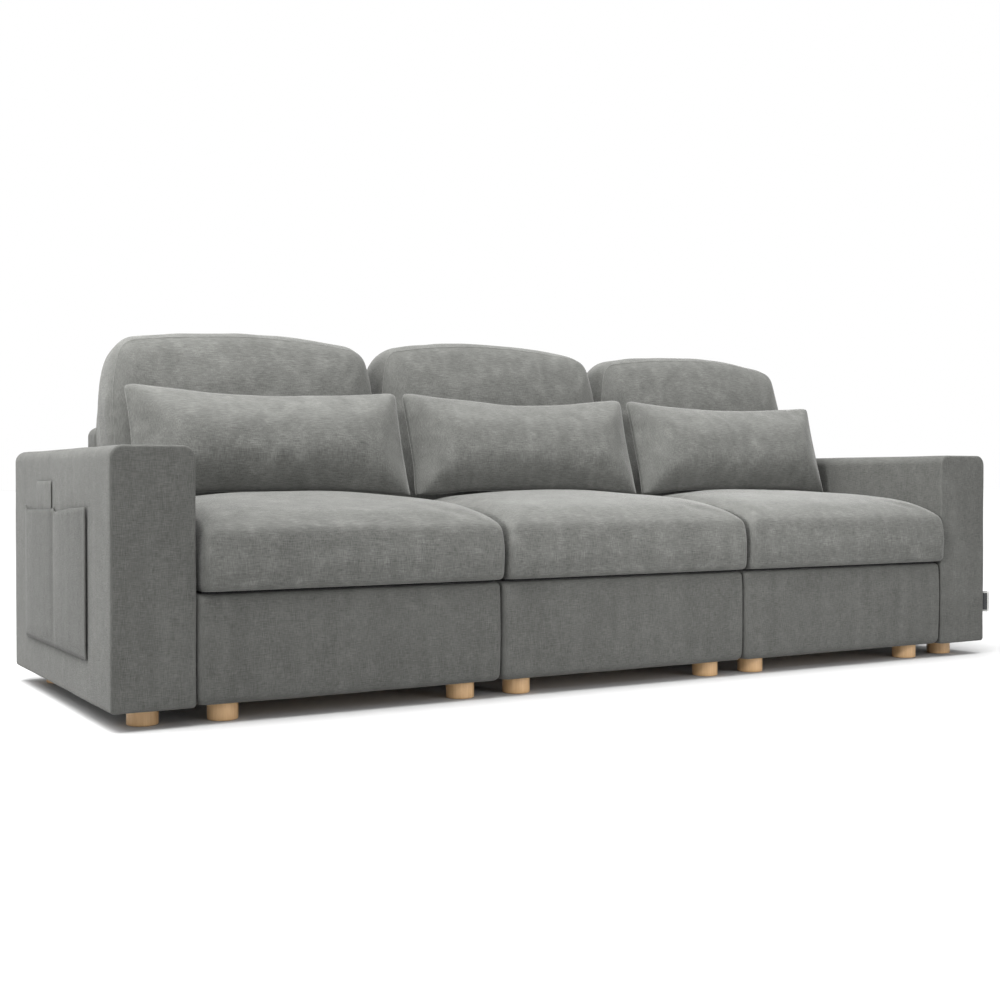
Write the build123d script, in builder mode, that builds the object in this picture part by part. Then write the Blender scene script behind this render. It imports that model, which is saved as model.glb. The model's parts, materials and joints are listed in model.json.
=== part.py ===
"""Modular sofa: three storage seats, each with its own back, between two upholstered arms.

Millimetres. X runs along the sofa, the front faces -Y, and the floor is at Z = 0.
"""

import os
from math import acos, cos, degrees, radians, sin, tan

from build123d import *

os.makedirs("parts", exist_ok=True)

# Running and resting clearances
rest_gap = 0.3            # between a soft piece and what it rests on
glue_line = 0.2           # between boards that are glued or screwed together
bolt_clearance = 0.1      # round each bolt, on the radius
slide_gap = 0.3           # above and below each connector tongue
cushion_gap = 2.0         # between a seat cushion and the back cushion behind it

# Seat modules and the gaps between them
module_width = 697.0
module_gap = 3.0
cover_thickness = 12.0    # foam and fabric over the boards
foot_height = 40.0
foot_diameter = 63.0
foot_chamfer = 2.5

# Storage base of each seat
base_depth = 767.0
base_height = 220.0
base_corner = 14.0        # upright edges of the cover
base_top_edge = 7.0       # eased edges, top and bottom
base_under_edge = 8.0
bottom_board = 15.0
wall_board = 18.0
deck_board = 12.0
block_height = 55.0       # front corner blocks, which take the foot bolts
block_size = 72.0
foot_from_side = 72.0
foot_from_end = 64.0
deck_lap = 40.0           # how far the rear deck reaches under the seat board

# Seat: a loose board with its cushion
seat_board = 10.0
seat_board_inset = 14.0   # sets the shadow line under the cushion
seat_height = 188.5
seat_nose = 13.0          # how far the cushion bulges in front of the base
seat_side_gap = 1.5       # from the cushion's widest line to the module's side
cleat_width = 30.0
cleat_height = 12.0
cleat_clearance = 3.0

# Raked back panel behind the seat
back_thickness = 80.0     # at its top
back_top = 618.0
back_rake = 8.0           # degrees from upright
back_round = 24.0         # long top edges
back_end_edge = 7.0       # eased edges at the two ends
cheek_board = 24.0
rear_board = 12.0
front_board = 9.0
top_rail = 40.0
sill_rail = 80.0          # height of the rail along its foot
back_plate_thickness = 3.0   # steel plates that join the back to its base, underneath
back_plate_width = 60.0
back_plate_reach = 90.0      # under the base
back_plate_spread = 300.0

# Back cushion
back_cushion_crest = 592.0      # length up the rake, from the deck to the crest
back_cushion_depth = 188.0
back_cushion_seam = 140.0       # from the rear face to the front seam
back_cushion_side_gap = 1.0
back_cushion_foot = 70.7        # length below the deck line before the foot is cut level

# Lumbar pillow
pillow_side_gap = 8.5           # from its corners to the module's sides
pillow_height = 264.0
pillow_thickness = 132.0
pillow_lean = 17.0              # degrees from upright
pillow_seam_curve = 10.0        # how far its long seams draw in
pillow_foot_flat = 10.0         # depth that its own weight flattens at the foot

# Arms
arm_width = 168.0
arm_height = 514.0
arm_top_round = 25.0
arm_under_edge = 10.0
arm_end_edge = 6.0        # eased edges round the front and rear ends
arm_side_board = 12.0
arm_end_board = 18.0
arm_foot_from_end = 84.0

# Fasteners
bolt_diameter = 8.0
foot_bolt_depth = 25.0          # into the foot
block_bolt_depth = 40.0         # into the corner block
arm_bolt_depth = 14.0           # into the arm's bottom board
bolt_sides = 8

# Connectors under the modules
tongue_width = 40.0
tongue_thickness = 4.0
tongue_root_length = 90.0       # under its own module
tongue_reach_length = 90.0      # under the neighbour
catch_thickness = 3.0
catch_flange = 20.0
catch_length = 30.0
catch_from_edge = 30.0
connector_from_end = 200.0

# Pockets on the left arm's outer side, and the tag on the right arm
pocket_from_front = 178.0
pocket_split = 459.0            # the stitched line between its two compartments
pocket_rear = 725.0
pocket_bottom = 123.0
pocket_top = 427.0
pocket_edge = 5.0               # how far its ends stand off the arm
pocket_swell = 9.0              # further bulge at the middle of each compartment
pocket_cloth = 3.0
slip_from_front = 469.0
slip_rear = 610.0
slip_bottom = 300.0
slip_top = 485.0
slip_thickness = 2.5
tag_height = 56.0
tag_bottom = 118.0
tag_reach = 20.0
tag_thickness = 2.5
tag_from_front = 9.0

# Shares that shape the soft forms, as (height, side inset, front inset, rear inset)
seat_sections = (
    (0.00, 0.020, 0.036, 0.018),
    (0.08, 0.005, 0.014, 0.005),
    (0.34, 0.000, 0.000, 0.000),
    (0.58, 0.003, 0.008, 0.004),
    (0.68, 0.007, 0.033, 0.008),
    (0.765, 0.014, 0.087, 0.015),
    (0.85, 0.031, 0.190, 0.034),
    (0.92, 0.075, 0.325, 0.070),
    (0.97, 0.160, 0.470, 0.115),
    (1.00, 0.290, 0.600, 0.165),
)
seat_corner_share = 0.065
seat_corner_sides = 6
# (depth, width, crest), from the back cushion's rear face to its front seam
gusset_sections = (
    (0.00, 0.965, 0.955),
    (0.06, 0.990, 0.978),
    (0.20, 1.000, 0.993),
    (0.45, 1.000, 1.000),
    (0.78, 0.994, 0.987),
    (1.00, 0.977, 0.960),
)
# (depth, width, crest, foot), from its front seam to its crown
crown_sections = (
    (0.00, 0.977, 0.960, -0.12),
    (0.22, 0.963, 0.945, -0.06),
    (0.45, 0.930, 0.914, 0.00),
    (0.66, 0.865, 0.862, 0.06),
    (0.84, 0.760, 0.780, 0.12),
    (0.95, 0.600, 0.680, 0.18),
    (1.00, 0.400, 0.550, 0.26),
)
back_side_share = 1.6           # radii of its outline, as shares of its half width
back_side_turn = 17.0           # degrees that each side turns inwards below its corner
back_side_sides = 3
back_corner_share = 0.10
back_corner_sides = 5
back_arch_share = 5.5
back_arch_sides = 8
# (thickness, width, height), from the pillow's seam to its crown
pillow_sections = (
    (0.00, 1.000, 1.000),
    (0.22, 0.970, 0.925),
    (0.48, 0.910, 0.825),
    (0.72, 0.820, 0.700),
    (0.90, 0.680, 0.530),
    (1.00, 0.480, 0.270),
)
pillow_long_sides = 8
pillow_short_sides = 4

# Levels and lines that follow from the sizes
rake = radians(back_rake)
lean = radians(pillow_lean)
sofa_depth = base_depth + rest_gap + back_thickness
front_y = -(sofa_depth - seat_nose) / 2
rear_y = front_y + sofa_depth
base_rear_y = front_y + base_depth
base_mid_y = front_y + base_depth / 2
base_top = foot_height + base_height
frame_top = base_top - cover_thickness
floor_top = foot_height + bottom_board
pitch = module_width + module_gap
frame_width = module_width - 2 * cover_thickness
frame_depth = base_depth - 2 * cover_thickness
hollow_width = frame_width - 2 * wall_board
wall_front_y = front_y + cover_thickness + wall_board
wall_rear_y = base_rear_y - cover_thickness - wall_board
wall_low = floor_top + glue_line
wall_high = frame_top - glue_line
deck_under = wall_high - deck_board
bolt_radius = bolt_diameter / 2
bolt_hole = bolt_radius + bolt_clearance

# The back's raked face starts at the deck and passes the panel's front top edge
raked_foot = base_top + rest_gap
panel_front_y = rear_y - back_thickness


def raked_y(height, inward=0.0):
    return panel_front_y - (back_top - height) * tan(rake) + inward / cos(rake)


raked_foot_y = raked_y(raked_foot, -rest_gap)
back_crown_depth = back_cushion_depth - back_cushion_seam
crown_reach = max(
    (back_cushion_seam + depth * back_crown_depth) * cos(rake)
    - max(foot, 0.0) * back_cushion_crest * sin(rake)
    for depth, width, crest, foot in crown_sections
)
back_front_y = raked_foot_y - crown_reach
seat_front_y = front_y - seat_nose
seat_rear_y = back_front_y - cushion_gap
seat_depth = seat_rear_y - seat_front_y
seat_width = module_width - 2 * seat_side_gap
board_low = base_top + rest_gap
cushion_low = board_low + seat_board
seat_top = cushion_low + seat_height
deck_front_y = seat_rear_y - deck_lap

pillow_width = module_width - 2 * pillow_side_gap

# The pillow stands on the seat and leans back until its rear crown meets the back cushion
pillow_half = pillow_thickness / 2
pillow_reach = max(
    share * pillow_half * cos(lean) + height * pillow_height / 2 * sin(lean)
    for share, width, height in pillow_sections
)
pillow_y = back_front_y - cushion_gap - pillow_reach
pillow_z = seat_top + rest_gap - pillow_foot_flat + pillow_height / 2 * cos(lean)

modules = {"left": -pitch, "middle": 0.0, "right": pitch}
arm_centre = pitch + module_width / 2 + module_gap + arm_width / 2
arms = {"left": -arm_centre, "right": arm_centre}
arm_outer = arm_centre + arm_width / 2
arm_top = foot_height + arm_height


def save(piece, name):
    piece.part.label = name
    export_step(piece.part, f"parts/{name}.step")


def foot_places(x):
    across = module_width / 2 - foot_from_side
    along = base_depth / 2 - foot_from_end
    return [(x + sx * across, base_mid_y + sy * along) for sx in (-1, 1) for sy in (-1, 1)]


def arm_foot_places(x):
    return [(x, front_y + arm_foot_from_end), (x, rear_y - arm_foot_from_end)]


def board(x_low, x_high, y_low, y_high, z_low, z_high):
    with BuildSketch(Plane.XY.offset(z_low)) as outline:
        with Locations(((x_low + x_high) / 2, (y_low + y_high) / 2)):
            Rectangle(x_high - x_low, y_high - y_low)
    extrude(outline.sketch, amount=z_high - z_low)


def stud(places, low, high, radius, mode=Mode.ADD):
    with BuildSketch(Plane.XY.offset(low)) as outline:
        with Locations(*places):
            RegularPolygon(radius, bolt_sides)
    extrude(outline.sketch, amount=high - low, mode=mode)


def side_profile(points, x_low, x_high, mode=Mode.ADD):
    with BuildSketch(Plane.YZ.offset(x_low)) as profile:
        with BuildLine():
            Polyline(*points, close=True)
        make_face()
    extrude(profile.sketch, amount=x_high - x_low, mode=mode)


def faceted_arc(centre, radius, start, sweep, sides):
    """Points along an arc, in degrees, that keep the same directions whatever its radius."""
    turns = [radians(start + sweep * step / sides) for step in range(sides + 1)]
    return [(centre[0] + radius * cos(turn), centre[1] + radius * sin(turn)) for turn in turns]


def outline_face(plane, points):
    with BuildSketch(plane) as outline:
        with BuildLine():
            Polyline(*points, close=True)
        make_face()
    return outline.sketch


def seat_outline(plane, half_width, half_depth, corner):
    points = []
    for quarter, (x_way, y_way) in enumerate(((1, 1), (-1, 1), (-1, -1), (1, -1))):
        centre = (x_way * (half_width - corner), y_way * (half_depth - corner))
        points += faceted_arc(centre, corner, 90 * quarter, 90, seat_corner_sides)
    return outline_face(plane, points)


def back_outline(plane, half_width, crest, foot):
    """An upright panel whose sides turn in towards tight corners under a shallow arch."""
    bend = half_width * back_side_share
    corner = half_width * back_corner_share
    arch = half_width * back_arch_share
    corner_x = half_width - bend + (bend - corner) * cos(radians(back_side_turn))
    arch_start = degrees(acos(corner_x / (arch - corner)))
    corner_y = crest - arch + (arch - corner) * sin(radians(arch_start))
    bend_y = corner_y - (bend - corner) * sin(radians(back_side_turn))
    turn = arch_start - back_side_turn
    side = faceted_arc((half_width - bend, bend_y), bend, 0, back_side_turn, back_side_sides)[:-1]
    side += faceted_arc((corner_x, corner_y), corner, back_side_turn, turn, back_corner_sides)
    top = faceted_arc((0, crest - arch), arch, arch_start, 180 - 2 * arch_start, back_arch_sides)[1:-1]
    other_side = [(-across, up) for across, up in reversed(side)]
    return outline_face(plane, [(half_width, foot), *side, *top, *other_side, (-half_width, foot)])


def pillow_outline(plane, width, height):
    """Four corners joined by edges that draw in, in the same directions whatever the shares."""
    half_width = width * pillow_width / 2
    half_height = height * pillow_height / 2
    long_bow = width * pillow_seam_curve
    side_bow = height * pillow_seam_curve * pillow_height / pillow_width
    points = []
    for way in (1, -1):
        for step in range(pillow_long_sides):
            share = 2 * step / pillow_long_sides - 1
            points.append((way * share * half_width, way * (long_bow * (1 - share**2) - half_height)))
        for step in range(pillow_short_sides):
            share = 2 * step / pillow_short_sides - 1
            points.append((way * (half_width - side_bow * (1 - share**2)), way * share * half_height))
    return outline_face(plane, points)


def flat_loft(outlines):
    """A ruled loft between outlines with parallel edges, each band of it one flat face."""
    bands = loft(outlines, ruled=True, mode=Mode.PRIVATE).faces()
    add(Solid(Shell([Face(band.outer_wire()) for band in bands])))


# Seat modules
for side, x in modules.items():
    feet_at = foot_places(x)
    half_frame = frame_width / 2
    half_hollow = hollow_width / 2
    inner = half_hollow - glue_line
    post_top = deck_under - glue_line

    # Upholstered shell of the storage base, open below for its boards and above for the storage
    with BuildPart() as base_cover:
        with BuildSketch(Plane.XY.offset(foot_height)):
            with Locations((x, base_mid_y)):
                RectangleRounded(module_width, base_depth, base_corner)
        extrude(amount=base_height)
        chamfer(base_cover.edges().group_by(Axis.Z)[-1], base_top_edge)
        chamfer(base_cover.edges().group_by(Axis.Z)[0], base_under_edge)
        with BuildSketch(Plane.XY.offset(foot_height)):
            with Locations((x, base_mid_y)):
                Rectangle(frame_width, frame_depth)
        extrude(amount=frame_top - foot_height, mode=Mode.SUBTRACT)
        with BuildSketch(Plane.XY.offset(frame_top)):
            with Locations((x, (wall_front_y + deck_front_y) / 2)):
                Rectangle(hollow_width, deck_front_y - wall_front_y)
        extrude(amount=cover_thickness, mode=Mode.SUBTRACT)
    save(base_cover, f"{side}_base_cover")

    # Bottom board, which carries the walls and takes the foot bolts
    with BuildPart() as base_bottom:
        board(
            x - half_frame + glue_line, x + half_frame - glue_line,
            front_y + cover_thickness + glue_line, base_rear_y - cover_thickness - glue_line,
            foot_height, floor_top,
        )
        stud(feet_at, foot_height, floor_top, bolt_hole, Mode.SUBTRACT)
    save(base_bottom, f"{side}_base_bottom")

    # Box walls, the divider under the rear deck, the front corner blocks and the rear posts
    with BuildPart() as base_box:
        wall_out = half_frame - glue_line
        outer_front = wall_front_y - wall_board + glue_line
        outer_rear = wall_rear_y + wall_board - glue_line
        board(x - wall_out, x + wall_out, outer_front, wall_front_y, wall_low, wall_high)
        board(x - wall_out, x + wall_out, wall_rear_y, outer_rear, wall_low, wall_high)
        for sign in (-1, 1):
            faces_x = sorted((x + sign * half_hollow, x + sign * wall_out))
            board(*faces_x, wall_front_y + glue_line, wall_rear_y - glue_line, wall_low, wall_high)
            posts_x = sorted((x + sign * inner, x + sign * (half_hollow - block_size)))
            block_rear = wall_front_y + block_size
            post_front = wall_rear_y - block_size
            board(*posts_x, wall_front_y + glue_line, block_rear, wall_low, wall_low + block_height)
            board(*posts_x, post_front, wall_rear_y - glue_line, wall_low, post_top)
        board(x - inner, x + inner, deck_front_y, deck_front_y + wall_board, wall_low, post_top)
        stud(feet_at, wall_low, floor_top + block_bolt_depth, bolt_hole, Mode.SUBTRACT)
    save(base_box, f"{side}_base_box")

    # Deck behind the storage, where the back cushion stands
    with BuildPart() as base_deck:
        board(x - inner, x + inner, deck_front_y, wall_rear_y - glue_line, deck_under, wall_high)
    save(base_deck, f"{side}_base_deck")

    # Turned feet, drilled for their bolts
    with BuildPart() as feet:
        with BuildSketch():
            with Locations(*feet_at):
                Circle(foot_diameter / 2)
        extrude(amount=foot_height)
        chamfer(feet.edges().group_by(Axis.Z)[0], foot_chamfer)
        stud(feet_at, foot_height - foot_bolt_depth, foot_height, bolt_hole, Mode.SUBTRACT)
    save(feet, f"{side}_feet")

    with BuildPart() as foot_bolts:
        stud(feet_at, foot_height - foot_bolt_depth, floor_top + block_bolt_depth, bolt_radius)
    save(foot_bolts, f"{side}_foot_bolts")

    # Board that lifts off the storage, with two cleats that keep it from sliding
    with BuildPart() as seat_lid:
        lid_half = module_width / 2 - seat_board_inset
        lid_front = front_y + seat_board_inset
        board(x - lid_half, x + lid_half, lid_front, seat_rear_y - seat_board_inset, board_low, cushion_low)
        cleat_end = half_hollow - cleat_clearance
        cleat_front = wall_front_y + cleat_clearance
        cleat_rear = deck_front_y - cleat_clearance
        for cleat_y in (cleat_front, cleat_rear - cleat_width):
            board(
                x - cleat_end, x + cleat_end, cleat_y, cleat_y + cleat_width,
                board_low - cleat_height, board_low - glue_line,
            )
    save(seat_lid, f"{side}_seat_board")

    # Seat cushion: drawn in at its foot, a full nose, a round front edge and a crown
    with BuildPart() as seat_cushion:
        seat_rows = []
        for height, side_in, front_in, rear_in in seat_sections:
            width = seat_width * (1 - 2 * side_in)
            depth = seat_depth * (1 - front_in - rear_in)
            middle = (seat_front_y + seat_depth * front_in + seat_rear_y - seat_depth * rear_in) / 2
            level = Plane((x, middle, cushion_low + height * seat_height))
            seat_rows.append(seat_outline(level, width / 2, depth / 2, seat_corner_share * seat_depth))
        flat_loft(seat_rows)
    save(seat_cushion, f"{side}_seat_cushion")

    # Frame of the raked back: two cheeks, front and rear boards and two rails
    frame_rear = rear_y - cover_thickness - glue_line
    frame_front = base_rear_y + rest_gap + cover_thickness + glue_line
    frame_high = back_top - cover_thickness - glue_line
    frame_step = raked_foot + cover_thickness + glue_line
    skin = cover_thickness + glue_line
    rail_skin = skin + front_board + glue_line
    rail_rear = frame_rear - rear_board - glue_line
    cheek_profile = (
        (frame_rear, foot_height), (frame_rear, frame_high), (raked_y(frame_high, skin), frame_high),
        (raked_y(frame_step, skin), frame_step), (frame_front, frame_step), (frame_front, foot_height),
    )
    with BuildPart() as back_frame:
        cheek_out = half_frame - glue_line
        cheek_in = cheek_out - cheek_board
        rail_end = cheek_in - glue_line
        side_profile(cheek_profile, x - cheek_out, x - cheek_in)
        side_profile(cheek_profile, x + cheek_in, x + cheek_out)
        board(x - rail_end, x + rail_end, frame_rear - rear_board, frame_rear, foot_height, frame_high)
        front_face = (
            (raked_y(frame_step, skin), frame_step), (raked_y(frame_high, skin), frame_high),
            (raked_y(frame_high, skin + front_board), frame_high),
            (raked_y(frame_step, skin + front_board), frame_step),
        )
        side_profile(front_face, x - rail_end, x + rail_end)
        rail_low = frame_high - top_rail
        top_face = (
            (raked_y(rail_low, rail_skin), rail_low), (raked_y(frame_high, rail_skin), frame_high),
            (rail_rear, frame_high), (rail_rear, rail_low),
        )
        side_profile(top_face, x - rail_end, x + rail_end)
        board(x - rail_end, x + rail_end, frame_front, rail_rear, foot_height, foot_height + sill_rail)
    save(back_frame, f"{side}_back_frame")

    # Upholstered shell of the back, open below
    panel_profile = (
        (rear_y, foot_height), (rear_y, back_top), (panel_front_y, back_top),
        (raked_y(raked_foot), raked_foot), (base_rear_y + rest_gap, raked_foot),
        (base_rear_y + rest_gap, foot_height),
    )
    hollow_front = base_rear_y + rest_gap + cover_thickness
    hollow_high = back_top - cover_thickness
    hollow_step = raked_foot + cover_thickness
    hollow_profile = (
        (rear_y - cover_thickness, foot_height), (rear_y - cover_thickness, hollow_high),
        (raked_y(hollow_high, cover_thickness), hollow_high),
        (raked_y(hollow_step, cover_thickness), hollow_step),
        (hollow_front, hollow_step), (hollow_front, foot_height),
    )
    with BuildPart() as back_cover:
        side_profile(panel_profile, x - module_width / 2, x + module_width / 2)
        fillet(back_cover.edges().filter_by(Axis.X).group_by(Axis.Z)[-1], back_round)
        ends = back_cover.faces().filter_by(Axis.X).edges()
        chamfer(ends.filter_by(lambda edge: edge.center().Z > raked_foot + rest_gap), back_end_edge)
        side_profile(hollow_profile, x - half_frame, x + half_frame, Mode.SUBTRACT)
    save(back_cover, f"{side}_back_cover")

    # Steel plates screwed underneath, from the base's bottom board to the back's sill
    with BuildPart() as back_plates:
        for plate_x in (x - back_plate_spread / 2, x + back_plate_spread / 2):
            board(
                plate_x - back_plate_width / 2, plate_x + back_plate_width / 2,
                base_rear_y - back_plate_reach, rail_rear, foot_height - back_plate_thickness, foot_height,
            )
    save(back_plates, f"{side}_back_plates")

    # Back cushion: a gusset that swells between two seams, then a crowned front panel
    back_plane = Plane(
        origin=(x, raked_foot_y, raked_foot), x_dir=(1, 0, 0), z_dir=(0, -cos(rake), sin(rake))
    )
    cushion_half = module_width / 2 - back_cushion_side_gap
    with BuildPart() as back_cushion:
        gusset = [
            back_outline(
                back_plane.offset(depth * back_cushion_seam),
                width * cushion_half, crest * back_cushion_crest, -back_cushion_foot,
            )
            for depth, width, crest in gusset_sections
        ]
        flat_loft(gusset)
        crown = [
            back_outline(
                back_plane.offset(back_cushion_seam + depth * back_crown_depth),
                width * cushion_half, crest * back_cushion_crest, foot * back_cushion_crest,
            )
            for depth, width, crest, foot in crown_sections
        ]
        flat_loft(crown)
        split(bisect_by=Plane.XY.offset(raked_foot), keep=Keep.TOP)
    save(back_cushion, f"{side}_back_cushion")

    # Knife-edged lumbar pillow, flattened where it stands on the seat
    pillow_plane = Plane(
        origin=(x, pillow_y, pillow_z), x_dir=(1, 0, 0), z_dir=(0, -cos(lean), sin(lean))
    )
    with BuildPart() as pillow:
        for way in (-1, 1):
            half_pillow = [
                pillow_outline(pillow_plane.offset(way * share * pillow_half), width, height)
                for share, width, height in pillow_sections
            ]
            flat_loft(half_pillow)
        split(bisect_by=Plane.XY.offset(seat_top + rest_gap), keep=Keep.TOP)
    save(pillow, f"{side}_lumbar_pillow")


# Arms
for side, x in arms.items():
    feet_at = arm_foot_places(x)
    half_arm = arm_width / 2

    # Upholstered shell, open below
    with BuildPart() as arm_cover:
        with BuildSketch(Plane.XZ.offset(-front_y)) as arm_front:
            with Locations((x, foot_height + arm_height / 2)):
                Rectangle(arm_width, arm_height)
            fillet(arm_front.vertices().group_by(Axis.Y)[-1], arm_top_round)
            fillet(arm_front.vertices().group_by(Axis.Y)[0], arm_under_edge)
        extrude(amount=-sofa_depth)
        chamfer(arm_cover.faces().filter_by(Axis.Y).edges(), arm_end_edge)
        with BuildSketch(Plane.XY.offset(foot_height)):
            with Locations((x, (front_y + rear_y) / 2)):
                Rectangle(arm_width - 2 * cover_thickness, sofa_depth - 2 * cover_thickness)
        extrude(amount=arm_height - cover_thickness, mode=Mode.SUBTRACT)
    save(arm_cover, f"{side}_arm_cover")

    # Inner box: two side boards, two ends, top and bottom
    with BuildPart() as arm_frame:
        out = half_arm - cover_thickness - glue_line
        side_in = out - arm_side_board
        end_in = side_in - glue_line
        y_low = front_y + cover_thickness + glue_line
        y_high = rear_y - cover_thickness - glue_line
        z_high = arm_top - cover_thickness - glue_line
        for sign in (-1, 1):
            faces_x = sorted((x + sign * side_in, x + sign * out))
            board(*faces_x, y_low, y_high, foot_height, z_high)
        board(x - end_in, x + end_in, y_low, y_low + arm_end_board, foot_height, z_high)
        board(x - end_in, x + end_in, y_high - arm_end_board, y_high, foot_height, z_high)
        lid_low = y_low + arm_end_board + glue_line
        lid_high = y_high - arm_end_board - glue_line
        board(x - end_in, x + end_in, lid_low, lid_high, foot_height, foot_height + arm_end_board)
        board(x - end_in, x + end_in, lid_low, lid_high, z_high - arm_end_board, z_high)
        stud(feet_at, foot_height, foot_height + arm_bolt_depth, bolt_hole, Mode.SUBTRACT)
    save(arm_frame, f"{side}_arm_frame")

    with BuildPart() as arm_feet:
        with BuildSketch():
            with Locations(*feet_at):
                Circle(foot_diameter / 2)
        extrude(amount=foot_height)
        chamfer(arm_feet.edges().group_by(Axis.Z)[0], foot_chamfer)
        stud(feet_at, foot_height - foot_bolt_depth, foot_height, bolt_hole, Mode.SUBTRACT)
    save(arm_feet, f"{side}_arm_feet")

    with BuildPart() as arm_bolts:
        stud(feet_at, foot_height - foot_bolt_depth, foot_height + arm_bolt_depth, bolt_radius)
    save(arm_bolts, f"{side}_arm_foot_bolts")


# Double pocket on the left arm: two swelling compartments, open at the top
def compartment(level, y_low, y_high, inset):
    face = -arm_outer
    stand = face - pocket_edge + inset
    start = y_low + inset
    end = y_high - inset
    with BuildSketch(Plane.XY.offset(level)) as outline:
        with BuildLine():
            Polyline((stand, start), (face, start), (face, end), (stand, end))
            ThreePointArc((stand, end), (stand - pocket_swell, (start + end) / 2), (stand, start))
        make_face()
    return outline.sketch


pocket_lines = (front_y + pocket_from_front, front_y + pocket_split, front_y + pocket_rear)
with BuildPart() as side_pocket:
    for y_low, y_high in zip(pocket_lines, pocket_lines[1:]):
        extrude(compartment(pocket_bottom, y_low, y_high, 0.0), amount=pocket_top - pocket_bottom)
    for y_low, y_high in zip(pocket_lines, pocket_lines[1:]):
        hollow = compartment(pocket_bottom + pocket_cloth, y_low, y_high, pocket_cloth)
        extrude(hollow, amount=pocket_top - pocket_bottom, mode=Mode.SUBTRACT)
save(side_pocket, "side_pocket")

# Slim slip pocket behind the rear compartment, lying shut against the arm
with BuildPart() as slip_pocket:
    board(
        -arm_outer - slip_thickness, -arm_outer, front_y + slip_from_front, front_y + slip_rear,
        slip_bottom, slip_top,
    )
save(slip_pocket, "slip_pocket")

# Blank cloth tag sewn into the right arm's outer front edge
with BuildPart() as label_tag:
    tag_y = front_y + tag_from_front
    tag_top = tag_bottom + tag_height
    board(arm_outer, arm_outer + tag_reach, tag_y, tag_y + tag_thickness, tag_bottom, tag_top)
save(label_tag, "label_tag")


# Connectors: flat tongues under one module slide into strap catches under the next
connector_rows = (front_y + connector_from_end, base_rear_y - connector_from_end)
slot_height = tongue_thickness + 2 * slide_gap


def tongues(edge, way):
    """Tongues fixed under the module outside an edge, reaching past it by tongue_reach_length."""
    ends = sorted((edge - way * tongue_reach_length, edge + way * (module_gap + tongue_root_length)))
    for y in connector_rows:
        board(
            *ends, y - tongue_width / 2, y + tongue_width / 2,
            foot_height - slide_gap - tongue_thickness, foot_height - slide_gap,
        )


def catches(edge, way):
    """Strap catches under the module inside an edge."""
    near = edge - way * catch_from_edge
    low_x = min(near, near - way * catch_length)
    slot_half = tongue_width / 2 + slide_gap
    strap_half = slot_half + catch_thickness
    for y in connector_rows:
        with BuildSketch(Plane.YZ.offset(low_x)) as strap:
            with BuildLine():
                Polyline(
                    (y - strap_half - catch_flange, foot_height), (y - slot_half, foot_height),
                    (y - slot_half, foot_height - slot_height), (y + slot_half, foot_height - slot_height),
                    (y + slot_half, foot_height), (y + strap_half + catch_flange, foot_height),
                    (y + strap_half + catch_flange, foot_height - catch_thickness),
                    (y + strap_half, foot_height - catch_thickness),
                    (y + strap_half, foot_height - slot_height - catch_thickness),
                    (y - strap_half, foot_height - slot_height - catch_thickness),
                    (y - strap_half, foot_height - catch_thickness),
                    (y - strap_half - catch_flange, foot_height - catch_thickness),
                    close=True,
                )
            make_face()
        extrude(strap.sketch, amount=catch_length)


for side, way in (("left", -1), ("right", 1)):
    inner_edge = way * module_width / 2
    outer_edge = way * (pitch + module_width / 2)
    with BuildPart() as module_tongues:
        tongues(inner_edge, way)
    save(module_tongues, f"{side}_module_tongues")
    with BuildPart() as arm_tongues:
        tongues(outer_edge, way)
    save(arm_tongues, f"{side}_arm_tongues")
    with BuildPart() as module_catches:
        catches(outer_edge, way)
    save(module_catches, f"{side}_module_catches")

with BuildPart() as middle_catches:
    for way in (-1, 1):
        catches(way * module_width / 2, way)
save(middle_catches, "middle_module_catches")
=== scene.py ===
import json
import math

import bmesh
import bpy
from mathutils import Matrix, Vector, noise


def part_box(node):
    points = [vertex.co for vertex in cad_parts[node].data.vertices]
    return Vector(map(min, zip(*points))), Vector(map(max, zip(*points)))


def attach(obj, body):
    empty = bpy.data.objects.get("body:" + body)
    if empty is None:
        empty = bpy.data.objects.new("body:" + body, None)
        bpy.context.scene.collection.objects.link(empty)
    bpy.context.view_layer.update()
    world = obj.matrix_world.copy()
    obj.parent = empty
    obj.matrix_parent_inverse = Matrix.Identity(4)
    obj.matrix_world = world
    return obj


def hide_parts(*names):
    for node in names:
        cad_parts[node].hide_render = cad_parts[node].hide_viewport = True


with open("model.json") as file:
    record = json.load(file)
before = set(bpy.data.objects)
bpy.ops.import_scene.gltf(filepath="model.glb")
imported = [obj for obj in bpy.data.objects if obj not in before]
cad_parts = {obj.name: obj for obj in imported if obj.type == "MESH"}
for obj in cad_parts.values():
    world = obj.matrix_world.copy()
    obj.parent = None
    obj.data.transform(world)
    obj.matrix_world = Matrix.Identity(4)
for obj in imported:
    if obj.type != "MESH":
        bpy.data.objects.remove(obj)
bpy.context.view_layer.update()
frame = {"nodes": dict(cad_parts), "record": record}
scene = bpy.context.scene
modules = ("left", "middle", "right")


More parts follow.
